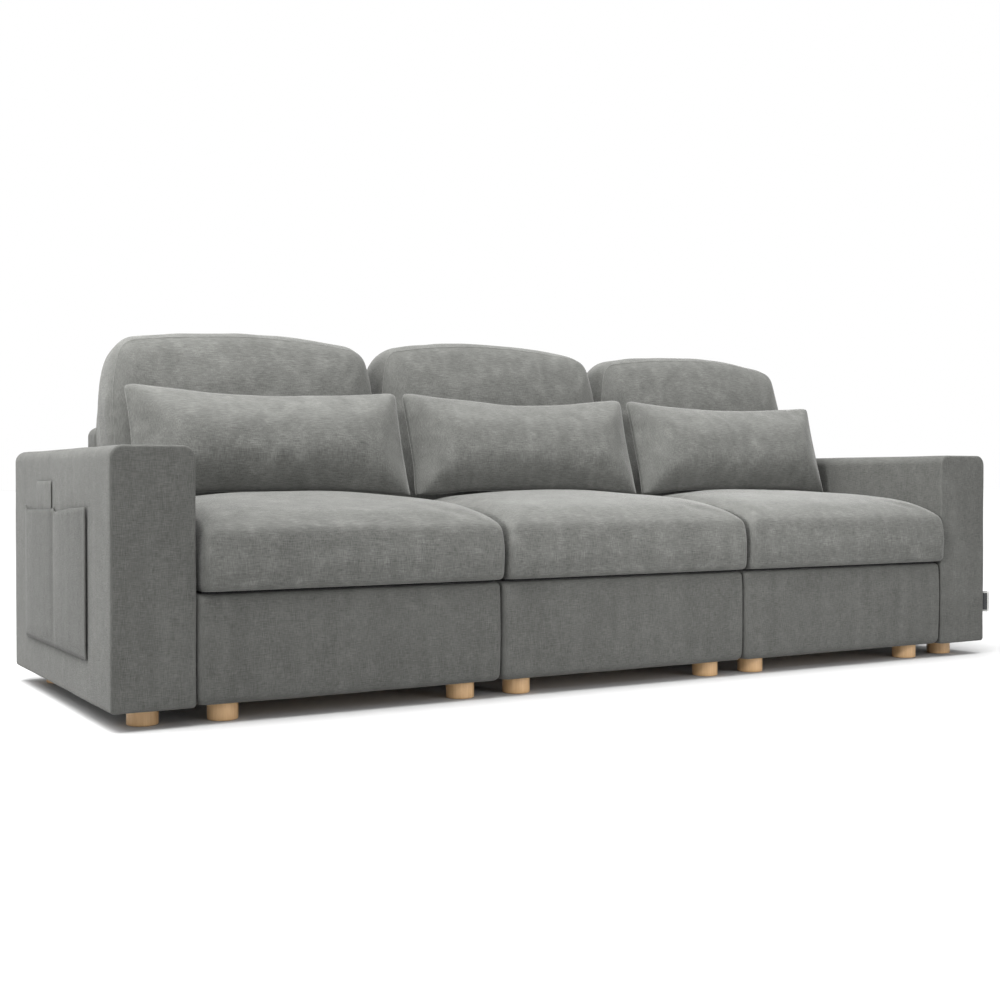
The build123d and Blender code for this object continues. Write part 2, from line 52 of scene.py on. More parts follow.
class Wire:
    # one output of a finish's nodes, so that shader sums read as plain Python
    def __init__(self, finish, socket):
        self.finish = finish
        self.socket = socket

    def maths(self, operation, first, second=0.0):
        return self.finish.add("ShaderNodeMath", {"operation": operation}, {0: first, 1: second})

    def __add__(self, other):
        return self.maths("ADD", self, other)

    __radd__ = __add__

    def __sub__(self, other):
        return self.maths("SUBTRACT", self, other)

    def __rsub__(self, other):
        return self.maths("SUBTRACT", other, self)

    def __mul__(self, other):
        return self.maths("MULTIPLY", self, other)

    __rmul__ = __mul__

    def __abs__(self):
        return self.maths("ABSOLUTE", self)

    def between(self, low, high):
        # 0 at low, 1 at high, eased at both ends
        return self.finish.add(
            "ShaderNodeMapRange", {"interpolation_type": "SMOOTHSTEP"},
            {"Value": self, "From Min": low, "From Max": high},
        )


class Finish:
    def __init__(self, name, constants):
        self.material = bpy.data.materials.new(name)
        self.material.use_nodes = True
        self.nodes = self.material.node_tree.nodes
        self.links = self.material.node_tree.links
        self.skin = self.nodes["Principled BSDF"]
        self.place = self.add("ShaderNodeTexCoord", out="Object")
        for socket, value in constants.items():
            self.skin.inputs[socket].default_value = value

    def add(self, kind, settings=None, sockets=None, out=None):
        node = self.nodes.new(kind)
        for key, value in (settings or {}).items():
            setattr(node, key, value)
        for key, value in (sockets or {}).items():
            if isinstance(key, int):
                self.feed(node.inputs[key], value)
            else:
                self.feed(next(s for s in node.inputs if s.enabled and s.name == key), value)
        shown = [s for s in node.outputs if s.enabled]
        return Wire(self, shown[0] if out is None else next(s for s in shown if s.name == out))

    def feed(self, socket, value):
        if isinstance(value, Wire):
            self.links.new(value.socket, socket)
        else:
            socket.default_value = value

    def stretched(self, scales):
        return self.add("ShaderNodeVectorMath", {"operation": "MULTIPLY"}, {0: self.place, 1: scales})

    def grain(self, scales, detail=2.0, roughness=0.5):
        # noise with its own scale along each axis, centred on zero
        spread = self.stretched(scales)
        sockets = {"Vector": spread, "Scale": 1.0, "Detail": detail, "Roughness": roughness}
        return self.add("ShaderNodeTexNoise", {}, sockets, out="Fac") - 0.5

    def blend(self, share, first, second):
        sockets = {"Factor": share, "A": (*first, 1.0), "B": (*second, 1.0)}
        return self.add("ShaderNodeMix", {"data_type": "RGBA"}, sockets)

    def axes(self, vector):
        split = self.add("ShaderNodeSeparateXYZ", {}, {0: vector}).socket.node
        return [Wire(self, socket) for socket in split.outputs]

    def wear(self, colour, roughness, height=None, depth=0.001):
        self.feed(self.skin.inputs["Base Color"], colour)
        self.feed(self.skin.inputs["Roughness"], roughness)
        if height:
            bump = self.add("ShaderNodeBump", {}, {"Height": height, "Distance": depth, "Strength": 1.0})
            self.feed(self.skin.inputs["Normal"], bump)
        return self.material


# Sofa fabric: slubby threads along all three axes, each fading where it would stand on end
wovenLook = {
    "dark": (0.043, 0.0434, 0.0402), "pale": (0.107, 0.1080, 0.1012),
    "thread": 880.0, "slub": 72.0, "threadTone": 1.05, "streak": (34.0, 34.0, 3.5), "streakTone": 0.36,
    "cloud": 26.0, "cloudTone": 0.22, "mottle": 7.0, "mottleTone": 0.34,
    "bloom": (-0.02, 0.26), "bloomTone": 0.10, "middleTone": 0.47,
    "sheen": 0.12, "rough": 0.88, "bump": 0.0006,
}
# Cushion cover: the same grey with a brushed nap, made paler as painted light for the cushions catching
# more light
brushedNapAndPaintedLightLook = dict(
    wovenLook, dark=(0.055, 0.0555, 0.0518), pale=(0.137, 0.1383, 0.1298),
    thread=640.0, slub=55.0, threadTone=1.20, cloudTone=0.26, bloomTone=0.24, sheen=0.20,
)
# Seat covers: the brushed grey darkened a little, painted shade on the seats
seatPaintedShadeClothLook = dict(brushedNapAndPaintedLightLook, dark=(0.0502, 0.0507, 0.0473), pale=(0.1250, 0.1262, 0.1184))
# Pocket: the woven grey darkened, painted shade on the pocket
pocketPaintedShadeClothLook = dict(wovenLook, dark=(0.0345, 0.0348, 0.0322), pale=(0.0858, 0.0866, 0.0811))
# Seam cords: the brushed grey made paler, a painted highlight along the seams
seamPaintedHighlightLook = dict(brushedNapAndPaintedLightLook, dark=(0.100, 0.101, 0.094), pale=(0.190, 0.192, 0.181))


def fabricFinish(name, look):
    cloth = Finish(name, {
        "Sheen Weight": look["sheen"], "Sheen Roughness": 0.35, "Sheen Tint": (0.92, 0.92, 0.90, 1.0),
        "Specular IOR Level": 0.22,
    })
    facing = cloth.axes(cloth.add("ShaderNodeNewGeometry", out="Normal"))
    weave = 0.0
    for axis in range(3):
        scales = [look["thread"]] * 3
        scales[axis] = look["slub"]
        weave = cloth.grain(scales, 1.5, 0.6) * (1 - abs(facing[axis])) + weave
    cloud = cloth.grain([look["cloud"]] * 3, 2.0)
    mottle = cloth.grain([look["mottle"]] * 3, 3.0, 0.6)
    streak = cloth.grain(look["streak"], 2.0)
    bloom = cloud.between(*look["bloom"]) * (weave * 2.0 + 0.6)  # patches where the nap lies the other way
    tone = weave * look["threadTone"] + cloud * look["cloudTone"] + mottle * look["mottleTone"]
    tone = tone + look["middleTone"] + bloom * look["bloomTone"] + streak * look["streakTone"]
    colour = cloth.blend(tone, look["dark"], look["pale"])
    return cloth.wear(colour, look["rough"] - tone * 0.12, weave + cloud * 0.6, look["bump"])


# Beech: upright grain and growth bands with short dark flecks
beechLook = {
    "early": (0.63, 0.41, 0.215), "late": (0.47, 0.285, 0.135),
    "grain": (240.0, 240.0, 19.2), "fleck": (900.0, 900.0, 108.0), "bands": (60.0, 60.0, 5.0),
}


def beechFinish(name, look):
    wood = Finish(name, {"Specular IOR Level": 0.4, "Coat Weight": 0.12, "Coat Roughness": 0.35})
    grain = wood.grain(look["grain"], 3.0, 0.6)
    fleck = wood.grain(look["fleck"], 2.0).between(0.12, 0.24)
    bands = wood.grain(look["bands"], 2.0)
    tone = grain * 1.3 + bands * 0.7 + fleck * 0.55 + 0.45
    return wood.wear(wood.blend(tone, look["early"], look["late"]), 0.46 + grain * 0.2, grain, 0.0004)


# Plywood: veneers show along the vertical edges, and the faces carry a long grain
plywoodLook = {
    "face": (0.60, 0.46, 0.30), "ply": (0.40, 0.27, 0.15), "veneers": 380.0, "grain": (14.0, 160.0, 160.0),
}


def plywoodFinish(name, look):
    wood = Finish(name, {"Specular IOR Level": 0.35})
    height = wood.axes(wood.place)[2]
    veneer = height.maths("SINE", height * look["veneers"])
    grain = wood.grain(look["grain"], 4.0, 0.6)
    tone = grain * 1.1 + veneer * 0.12 + 0.4
    return wood.wear(wood.blend(tone, look["face"], look["ply"]), 0.62 + grain * 0.2, grain, 0.0006)


# Zinc-plated steel: cloudy plating with fine scratches
steelLook = {
    "dull": (0.42, 0.43, 0.44), "bright": (0.66, 0.67, 0.68),
    "flake": (90.0, 90.0, 90.0), "scratch": (900.0, 30.0, 900.0),
}


def steelFinish(name, look):
    steel = Finish(name, {"Metallic": 1.0, "Specular IOR Level": 0.5})
    flake = steel.grain(look["flake"], 3.0, 0.7)
    scratch = steel.grain(look["scratch"], 2.0)
    colour = steel.blend(flake * 1.4 + 0.5, look["dull"], look["bright"])
    return steel.wear(colour, 0.36 + flake * 0.3 + scratch * 0.16, scratch, 0.0002)


# Lining: black non-woven felt with pressed dimples
liningLook = {
    "dark": (0.010, 0.010, 0.011), "pale": (0.040, 0.040, 0.042),
    "fibre": (420.0, 420.0, 420.0), "dimples": 260.0,
}


def liningFinish(name, look):
    felt = Finish(name, {"Specular IOR Level": 0.15, "Sheen Weight": 0.15, "Sheen Roughness": 0.5})
    fibre = felt.grain(look["fibre"], 3.0, 0.7)
    spots = {"Vector": felt.place, "Scale": look["dimples"]}
    dimple = felt.add("ShaderNodeTexVoronoi", {}, spots, out="Distance")
    colour = felt.blend(fibre * 1.6 + dimple * 0.4 + 0.2, look["dark"], look["pale"])
    return felt.wear(colour, 0.92 - fibre * 0.1, fibre * 0.5 + dimple, 0.0005)


# Tag: charcoal tape with a pale line woven along its top, bottom and outer edge
tagLook = {
    "ground": (0.030, 0.031, 0.033), "line": (0.50, 0.50, 0.48), "rib": (200.0, 200.0, 2600.0),
    "inset": 0.0030, "width": 0.0007, "start": 0.0030, "reach": 0.0165, "bend": 0.0145,
    "half": 0.0009, "foldFrom": 0.9, "foldEnd": 0.02, "round": 0.9, "columns": 14, "counts": (2, 24, 3),
}


def tagFinish(name, look):
    low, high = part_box("label_tag")
    tape = Finish(name, {"Specular IOR Level": 0.2, "Sheen Weight": 0.2})
    across, _, up = tape.axes(tape.place)
    line = 0.0
    outer = low.x + look["start"] + look["reach"]
    top, bottom = high.z - look["inset"], low.z + look["inset"]
    for where, edge in ((across, outer - look["inset"]), (up, top), (up, bottom)):
        line = (1 - abs(where - edge).between(look["width"], look["width"] * 2.2)) + line
    rib = tape.grain(look["rib"], 1.0)
    colour = tape.blend(line * 0.8 + rib * 0.25, look["ground"], look["line"])
    return tape.wear(colour, 0.8 + rib * 0.2, rib + line * 0.3, 0.0004)


woven = fabricFinish("woven_grey", wovenLook)
brushedNapAndPaintedLight = fabricFinish("brushed_grey_nap_and_painted_light", brushedNapAndPaintedLightLook)
seatPaintedShadeCloth = fabricFinish("seat_grey_painted_shade", seatPaintedShadeClothLook)
pocketPaintedShadeCloth = fabricFinish("pocket_grey_painted_shade", pocketPaintedShadeClothLook)
seamPaintedHighlightCloth = fabricFinish("seam_grey_painted_highlight", seamPaintedHighlightLook)
beech = beechFinish("turned_beech", beechLook)
tagTape = tagFinish("tag_tape", tagLook)
slotFinish = {
    "grey_fabric": woven,
    "tag_fabric": tagTape,
    "board_lining": liningFinish("board_lining", liningLook),
    "beech": beech,
    "plywood": plywoodFinish("birch_plywood", plywoodLook),
    "zinc_steel": steelFinish("zinc_steel", steelLook),
}
for node in frame["record"]["subparts"]:
    piece = frame["nodes"][node["node"]]
    piece.data.materials.clear()
    piece.data.materials.append(slotFinish[node["material_slot"]])


def newPiece(name, points, faces, finish):
    mesh = bpy.data.meshes.new(name)
    mesh.from_pydata([tuple(p) for p in points], [], faces)
    work = bmesh.new()
    work.from_mesh(mesh)
    bmesh.ops.recalc_face_normals(work, faces=work.faces)
    work.to_mesh(mesh)
    work.free()
    mesh.polygons.foreach_set("use_smooth", [True] * len(mesh.polygons))
    mesh.materials.append(finish)
    piece = bpy.data.objects.new(name, mesh)
    scene.collection.objects.link(piece)
    return piece


def dress(piece, body, node):
    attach(piece, body)
    if node:
        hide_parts(node)
    return piece


def rounder(piece):
    soft = piece.modifiers.new("round", "SUBSURF")
    soft.levels = 1
    soft.render_levels = 1


def roundedPlaces(piece, line):
    # where points of the piece lie once it is rounded
    shaped = piece.evaluated_get(bpy.context.evaluated_depsgraph_get())
    return [shaped.data.vertices[k].co.copy() for k in line]


def creased(piece, line):
    # keeps a closed line of edges sharp where the piece is rounded
    sewn = {tuple(sorted(pair)) for pair in zip(line, line[1:] + line[:1])}
    sharp = [1.0 if tuple(sorted(edge.vertices)) in sewn else 0.0 for edge in piece.data.edges]
    piece.data.attributes.new("crease_edge", "FLOAT", "EDGE").data.foreach_set("value", sharp)


def mix(a, b, share):
    return a + (b - a) * share


def ease(value, low, high):
    share = min(max((value - low) / (high - low), 0.0), 1.0)
    return share * share * (3 - 2 * share)


def smoothRows(rows, steps):
    # a flowing curve through rows of numbers
    last = len(rows) - 1
    out = []
    for k in range(last):
        before, a, b, after = rows[max(k - 1, 0)], rows[k], rows[k + 1], rows[min(k + 2, last)]
        for step in range(steps):
            t = step / steps
            out.append([
                (2 * t**3 - 3 * t**2 + 1) * q + (t**3 - 2 * t**2 + t) * (r - p) / 2
                + (3 * t**2 - 2 * t**3) * r + (t**3 - t**2) * (s - q) / 2
                for p, q, r, s in zip(before, a, b, after)
            ])
    return out + [list(rows[-1])]


def roundedLoop(low, high, radii, counts):
    # points round a rectangle, from its low-low corner, with a radius for each corner
    across, up, bend = counts
    corners = (
        (low[0], low[1], 1, 1, 180), (high[0], low[1], -1, 1, 270),
        (high[0], high[1], -1, -1, 0), (low[0], high[1], 1, -1, 90),
    )
    arcs = []
    for (u, v, wayU, wayV, start), radius in zip(corners, radii):
        turns = [math.radians(start + 90 * step / bend) for step in range(bend + 1)]
        arcs.append([
            (u + radius * (wayU + math.cos(turn)), v + radius * (wayV + math.sin(turn)))
            for turn in turns
        ])
    loop = []
    for number, arc in enumerate(arcs):
        ahead = arcs[(number + 1) % 4][0]
        runs = up if number % 2 else across
        loop += arc
        loop += [
            (mix(arc[-1][0], ahead[0], step / runs), mix(arc[-1][1], ahead[1], step / runs))
            for step in range(1, runs)
        ]
    return loop


def strips(start, count):
    # closes a ring with strips of faces across it
    def at(step):
        return start + step % count

    return [(at(k), at(k + 1), at(-k - 2), at(-k - 1)) for k in range(count // 2 - 1)]


def ringFaces(rows, count, closeStart, closeEnd):
    faces = []
    for row in range(rows - 1):
        for step in range(count):
            after = (step + 1) % count
            low, high = row * count, (row + 1) * count
            faces.append((low + step, low + after, high + after, high + step))
    if closeStart:
        faces += strips(0, count)
    if closeEnd:
        faces += strips((rows - 1) * count, count)
    return faces


def ringPiece(name, rings, finish, closeStart=True, closeEnd=True):
    points = [point for ring in rings for point in ring]
    return newPiece(name, points, ringFaces(len(rings), len(rings[0]), closeStart, closeEnd), finish)


def ripple(piece, height, size, seed, hold=None):
    # small hand-made unevenness along the normals
    start = Vector((seed * 7.31, seed * 3.17, seed * 5.73))
    mesh = piece.data
    moved = []
    for vertex in mesh.vertices:
        amount = noise.noise(vertex.co / size + start) * height
        moved.extend(vertex.co + vertex.normal * (amount * hold(vertex.co) if hold else amount))
    mesh.vertices.foreach_set("co", moved)
    mesh.update()


def tubeLoop(name, points, radius, facing, finish, sides=6):
    # a cord sewn round a closed line that lies about square to facing
    count = len(points)
    rings = []
    for k in range(count):
        along = (points[(k + 1) % count] - points[k - 1]).normalized()
        out = along.cross(facing).normalized()
        up = out.cross(along)
        turns = [2 * math.pi * s / sides for s in range(sides)]
        rings.append([points[k] + (out * math.cos(t) + up * math.sin(t)) * radius for t in turns])
    rings.append(rings[0])
    return ringPiece(name, rings, finish, False, False)


def quarter(steps):
    # angles of a quarter turn
    return [math.radians(90 * step / steps) for step in range(steps + 1)]


def calmed(moves, edges, pins, passes):
    # evens out neighbouring movements, so that the filling reads soft; pinned points stay
    for _ in range(passes):
        sums = [move.copy() for move in moves]
        shares = [1] * len(moves)
        for a, b in edges:
            sums[a] += moves[b]
            sums[b] += moves[a]
            shares[a] += 1
            shares[b] += 1
        moves = [total / share for total, share in zip(sums, shares)]
        for k in pins:
            moves[k] = Vector()
    return moves


swellLook = {"frames": 20, "quality": 4, "shear": 0.4}


def swell(piece, pins, look):
    # the cover swells under its filling, and each point is kept within cap of where it was cut
    cut = [vertex.co.copy() for vertex in piece.data.vertices]
    group = piece.vertex_groups.new(name="held")
    group.add(pins, 1.0, "REPLACE")
    cloth = piece.modifiers.new("swell", "CLOTH")
    settings = cloth.settings
    settings.quality = swellLook["quality"]
    settings.tension_stiffness = look["tension"]
    settings.compression_stiffness = look["tension"]
    settings.shear_stiffness = look["tension"] * swellLook["shear"]
    settings.bending_stiffness = look["bending"]
    settings.use_pressure = True
    settings.uniform_pressure_force = look["pressure"]
    settings.effector_weights.gravity = 0.0
    settings.shrink_min = -look["spare"]  # cloth to spare, which puckers along the seams
    settings.vertex_group_mass = "held"
    settings.pin_stiffness = 1.0
    cloth.point_cache.frame_start = 1
    cloth.point_cache.frame_end = swellLook["frames"]
    for number in range(1, swellLook["frames"] + 1):
        scene.frame_set(number)
    shaped = piece.evaluated_get(bpy.context.evaluated_depsgraph_get())
    swollen = [vertex.co.copy() for vertex in shaped.data.vertices]
    piece.modifiers.remove(cloth)
    piece.vertex_groups.remove(group)
    moves = [new - old for old, new in zip(cut, swollen)]
    moves = calmed(moves, [tuple(edge.vertices) for edge in piece.data.edges], pins, look["calm"])
    for vertex, old, move in zip(piece.data.vertices, cut, moves):
        if move.length > 0.0:
            move *= look["cap"] * math.tanh(move.length / look["cap"]) / move.length
        vertex.co = old + move
    piece.data.update()
    scene.frame_set(1)


# Storage bases: a padded cover round the box, turned in over the storage
baseLook = {
    "counts": (40, 44, 6), "corner": 0.014, "innerCorner": 0.008, "topEdge": 0.012, "underEdge": 0.017,
    "skin": 0.0122, "frontPad": 0.0022, "sidePad": 0.0007, "padShape": 0.6, "rows": 14, "rim": 0.030,
    "lip": (0.003, 0.008, 0.0118), "turnUnder": 0.060, "below": 0.0012, "ripple": (0.0008, 0.11),
}
for seed, side in enumerate(modules):
    low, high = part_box(f"{side}_base_cover")
    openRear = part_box(f"{side}_base_deck")[0].y
    rings = []

    def baseRing(inset, z, corner, pad=0.0, rear=None):
        loop = roundedLoop(
            (low.x + inset - pad * baseLook["sidePad"], low.y + inset - pad * baseLook["frontPad"]),
            (high.x - inset + pad * baseLook["sidePad"], high.y - inset if rear is None else rear),
            [corner] * 4, baseLook["counts"],
        )
        rings.append([Vector((x, y, z)) for x, y in loop])

    under = low.z - baseLook["below"]
    baseRing(baseLook["turnUnder"], under, baseLook["innerCorner"])
    for turn in quarter(5):  # the turn from underneath
        inset = baseLook["skin"] * (1 - math.sin(turn))
        baseRing(inset, under + baseLook["underEdge"] * (1 - math.cos(turn)), baseLook["corner"])
    for step in range(1, baseLook["rows"]):
        share = step / baseLook["rows"]
        z = mix(low.z + baseLook["underEdge"], high.z - baseLook["topEdge"], share)
        baseRing(0.0, z, baseLook["corner"], math.sin(math.pi * share) ** baseLook["padShape"])
    for turn in quarter(5):  # over the top edge
        inset = baseLook["topEdge"] * (1 - math.cos(turn))
        baseRing(inset, high.z - baseLook["topEdge"] * (1 - math.sin(turn)), baseLook["corner"])
    for share in (0.5, 1.0):
        inset = mix(baseLook["topEdge"], baseLook["rim"], share)
        rear = mix(high.y - baseLook["topEdge"], openRear, share)
        baseRing(inset, high.z, baseLook["innerCorner"], 0.0, rear)
    for drop in baseLook["lip"]:
        baseRing(baseLook["rim"], high.z - drop, baseLook["innerCorner"], 0.0, openRear)
    base = ringPiece(f"{side}_base_upholstery", rings, woven, False, False)
    ripple(base, *baseLook["ripple"], seed + 1)
    dress(base, f"{side}_module", f"{side}_base_cover")
print("bases covered")

# Turned feet with an eased lower edge
footLook = {
    "sides": 56, "radius": 0.0315, "edge": 0.0035, "sole": ((0.0, 0.45), (0.0, 0.80)),
    "side": ((0.012, 1.0), (0.026, 1.0), (0.0388, 1.0), (0.0398, 0.965), (0.0398, 0.5)),
}


def turnedFeet(name, body, node, places):
    edge, radius, sides = (footLook[part] for part in ("edge", "radius", "sides"))
    rows = list(footLook["sole"])
    for turn in quarter(5):
        rows.append((edge * (1 - math.cos(turn)), 1 - edge * (1 - math.sin(turn)) / radius))
    rows += footLook["side"]
    turns = [2 * math.pi * k / sides for k in range(sides)]
    footFaces = ringFaces(len(rows), sides, True, True)
    points, faces = [], []
    for x, y in places:
        start = len(points)
        for z, share in rows:
            reach = radius * share
            points += [(x + reach * math.cos(turn), y + reach * math.sin(turn), z) for turn in turns]
        faces += [tuple(start + k for k in face) for face in footFaces]
    dress(newPiece(name, points, faces, beech), body, node)


for side in modules:
    low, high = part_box(f"{side}_feet")
    reach = footLook["radius"]
    corners = [(x, y) for x in (low.x + reach, high.x - reach) for y in (low.y + reach, high.y - reach)]
    turnedFeet(f"{side}_turned_feet", f"{side}_module", f"{side}_feet", corners)
for side in ("left", "right"):
    low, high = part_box(f"{side}_arm_feet")
    middle = (low.x + high.x) / 2
    ends = [(middle, low.y + footLook["radius"]), (middle, high.y - footLook["radius"])]
    turnedFeet(f"{side}_arm_turned_feet", f"{side}_arm", f"{side}_arm_feet", ends)
print("feet turned")

# Seat cushions: (height, side inset, front inset, rear inset) as shares, from foot to crown
seatLook = {
    "counts": (46, 36, 8), "corner": 0.020, "crownCorner": 0.13, "crownFrom": 0.55, "room": 0.0025,
    "shift": (0.0048, -0.0060, 0.0), "armGap": 0.0006, "still": (0.012, 0.062), "ripple": (0.0030, 0.17),
    "under": (0.44, 0.30, 0.15, 0.06), "steps": 4, "heldRows": 24, "mostCorner": 0.49,
    "cloth": {"tension": 25.0, "bending": 2.0, "pressure": 4.0, "spare": 0.0, "calm": 2, "cap": 0.004},
    "rows": (
        (0.000, 0.0166, 0.0465, 0.020), (-0.022, 0.0150, 0.0430, 0.018), (-0.030, 0.0110, 0.0310, 0.014),
        (-0.018, 0.0050, 0.0130, 0.008), (0.030, 0.0010, 0.0030, 0.002), (0.120, 0.000, 0.000, 0.000),
        (0.340, -0.002, -0.006, 0.000), (0.580, 0.001, 0.004, 0.003), (0.680, 0.006, 0.030, 0.008),
        (0.765, 0.014, 0.085, 0.015), (0.845, 0.038, 0.188, 0.034), (0.904, 0.105, 0.324, 0.070),
        (0.946, 0.205, 0.470, 0.115), (0.975, 0.310, 0.600, 0.165), (0.984, 0.385, 0.655, 0.215),
        (0.987, 0.455, 0.690, 0.262),
    ),
}


def seatRings(low, high):
    size = high - low
    rings = []

    def seatRing(height, side, front, rear):
        start = (low.x + size.x * side, low.y + size.y * front)
        end = (high.x - size.x * side, high.y - size.y * rear)
        crown = ease(height, seatLook["crownFrom"], 1.0)
        corner = mix(seatLook["corner"], seatLook["crownCorner"], crown)
        corner = min(corner, *(seatLook["mostCorner"] * (b - a) for a, b in zip(start, end)))
        loop = roundedLoop(start, end, [corner] * 4, seatLook["counts"])
        rings.append([Vector((x, y, low.z + size.z * height)) for x, y in loop])

    for inset in seatLook["under"]:
        seatRing(0.0, inset, inset, inset)
    for row in smoothRows(seatLook["rows"], seatLook["steps"]):
        seatRing(*row)
    return rings


low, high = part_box("middle_seat_cushion")
rings = seatRings(low, high)
pattern = ringPiece("seat_pattern", rings, seatPaintedShadeCloth)
swell(pattern, list(range(seatLook["heldRows"] * len(rings[0]))), seatLook["cloth"])
seatShape = [vertex.co.copy() for vertex in pattern.data.vertices]
for point in seatShape:  # neighbours press each other's sides flat
    point.x = min(max(point.x, low.x - seatLook["room"]), high.x + seatLook["room"])
seatFaces = ringFaces(len(rings), len(rings[0]), True, True)
bpy.data.objects.remove(pattern)
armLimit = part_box("right_arm_cover")[0].x - seatLook["armGap"]
for seed, side in enumerate(modules):
    shift = Vector((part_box(f"{side}_seat_cushion")[0].x - low.x, 0.0, 0.0)) + Vector(seatLook["shift"])
    shape = [point + shift for point in seatShape]
    for point in shape:
        point.x = min(point.x, armLimit)
    seat = newPiece(f"{side}_seat_upholstery", shape, seatFaces, seatPaintedShadeCloth)

    def seatHold(point):
        return ease(point.z - low.z, *seatLook["still"])

    ripple(seat, *seatLook["ripple"], seed + 11, seatHold)
    rounder(seat)
    dress(seat, f"{side}_seat", f"{side}_seat_cushion")
print("seat cushions filled")

# Back panels: a raked front, an upright rear and a soft top edge
panelLook = {
    "counts": (40, 10, 6), "corner": 0.014, "topEdge": 0.024, "thickness": 0.080, "step": 0.2603,
    "foot": ((0.0122, 0.0), (0.006, 0.001), (0.0, 0.008)), "footRise": 0.008, "belowStep": 0.001,
    "topInset": 0.036, "topRise": 0.0005, "footRows": 6, "rakedRows": 10, "ripple": (0.0007, 0.12),
}
for seed, side in enumerate(modules):
    low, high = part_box(f"{side}_back_cover")
    upright = high.y - panelLook["thickness"]
    slope = (upright - low.y) / (high.z - panelLook["step"])
    rings = []

    def panelRing(inset, z, front):
        loop = roundedLoop(
            (low.x + inset, front + inset), (high.x - inset, high.y - inset),
            [panelLook["corner"]] * 4, panelLook["counts"],
        )
        rings.append([Vector((x, y, z)) for x, y in loop])

    def rakedFront(z):
        return upright - (high.z - z) * slope

    for inset, rise in panelLook["foot"]:
        panelRing(inset, low.z + rise, upright)
    footTop, stepFoot = low.z + panelLook["footRise"], panelLook["step"] - panelLook["belowStep"]
    for row in range(1, panelLook["footRows"] + 1):
        panelRing(0.0, mix(footTop, stepFoot, row / panelLook["footRows"]), upright)
    for row in range(panelLook["rakedRows"] + 1):
        z = mix(panelLook["step"], high.z - panelLook["topEdge"], row / panelLook["rakedRows"])
        panelRing(0.0, z, rakedFront(z))
    for turn in quarter(7)[1:]:
        z = high.z - panelLook["topEdge"] * (1 - math.sin(turn))
        panelRing(panelLook["topEdge"] * (1 - math.cos(turn)), z, rakedFront(z))
    panelRing(panelLook["topInset"], high.z + panelLook["topRise"], upright)
    panel = ringPiece(f"{side}_back_upholstery", rings, woven, False, True)
    ripple(panel, *panelLook["ripple"], seed + 21)
    dress(panel, f"{side}_module", f"{side}_back_cover")
print("back panels covered")

# Back cushions: a gusset from the rear face to the front seam, then a crowned front panel
backLook = {
    "rake": 8.0, "crest": 0.594, "depth": 0.185, "seam": 0.140, "footDrop": 0.0707, "sideGap": 0.001,
    "bend": 1.6, "bendTurn": 15.0, "corner": 0.14, "arch": 5.2, "counts": (36, 20, 12, 11, 34),
    "panelGap": 0.0003, "deckGap": 0.0004, "heldFoot": 0.002, "room": 0.0009, "rearSoft": 2.1,
    "piping": 0.0008, "still": (0.01, 0.08), "waves": ((0.0050, 0.21, 31), (0.0018, 0.06, 41)),
    "lean": {"left": -0.0025, "middle": 0.0, "right": 0.0},
    "stretch": {"left": 0.998, "middle": 1.010, "right": 1.001},
    "cloth": {"tension": 25.0, "bending": 12.0, "pressure": 2.5, "spare": 0.0, "calm": 14, "cap": 0.004},
    "rear": ((0.0, 0.30, 0.40, 0.1), (0.0, 0.65, 0.72, 0.0)), "gussetSteps": 5, "crownSteps": 4,
    "gusset": (
        (0.00, 0.998, 0.955), (0.05, 1.001, 0.978), (0.20, 1.003, 0.993),
        (0.45, 1.002, 1.000), (0.78, 0.994, 0.987), (1.00, 0.977, 0.960),
    ),
    "crown": (
        (0.00, 0.977, 0.960, -0.12), (0.22, 0.963, 0.945, -0.06), (0.45, 0.930, 0.914, 0.00),
        (0.66, 0.865, 0.862, 0.06), (0.84, 0.760, 0.780, 0.12), (0.95, 0.600, 0.680, 0.18),
        (1.00, 0.400, 0.550, 0.26), (1.01, 0.200, 0.450, 0.33),
    ),
}


def backOutline(half, crest, foot, soft):
    # flat foot, sides that lean in as they rise, tight shoulders and a shallow arch
    runFoot, runSide, runBend, runCorner, runArch = backLook["counts"]
    bend, corner, arch = (half * backLook[part] for part in ("bend", "corner", "arch"))
    corner *= soft
    bendTurn = math.radians(backLook["bendTurn"])
    cornerX = half - bend + (bend - corner) * math.cos(bendTurn)
    archTurn = math.acos(cornerX / (arch - corner))
    cornerY = crest - arch + (arch - corner) * math.sin(archTurn)
    bendY = cornerY - (bend - corner) * math.sin(bendTurn)
    rise = [(half, mix(foot, bendY, k / runSide)) for k in range(runSide)]
    for x, y, radius, start, end, runs in (
        (half - bend, bendY, bend, 0.0, bendTurn, runBend),
        (cornerX, cornerY, corner, bendTurn, archTurn, runCorner),
        (0.0, crest - arch, arch, archTurn, math.pi / 2, runArch // 2),
    ):
        turns = [mix(start, end, k / runs) for k in range(runs)]
        rise += [(x + radius * math.cos(turn), y + radius * math.sin(turn)) for turn in turns]
    fall = [(-u, v) for u, v in reversed(rise[1:])]
    base = [(mix(-half, half, k / runFoot), foot) for k in range(runFoot)]
    return base + rise + [(0.0, crest)] + fall


rake = math.radians(backLook["rake"])
backUp = Vector((0.0, math.sin(rake), math.cos(rake)))
backOut = Vector((0.0, -math.cos(rake), math.sin(rake)))
panelLow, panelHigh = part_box("middle_back_cover")
deck = panelLook["step"]
panelFront = panelHigh.y - panelLook["thickness"] - (panelHigh.z - deck) * math.tan(rake)
backFoot = Vector((0.0, panelFront - backLook["panelGap"], deck))
half = (panelHigh.x - panelLow.x) / 2 - backLook["sideGap"]


def backRing(depth, width, crest, foot, soft=1.0):
    outline = backOutline(width * half, crest * backLook["crest"], foot, soft)
    ring = []
    for u, v in outline:
        point = backFoot + Vector((u, 0.0, 0.0)) + backUp * v + backOut * depth
        point.z = max(point.z, deck + backLook["deckGap"])
        ring.append(point)
    return ring


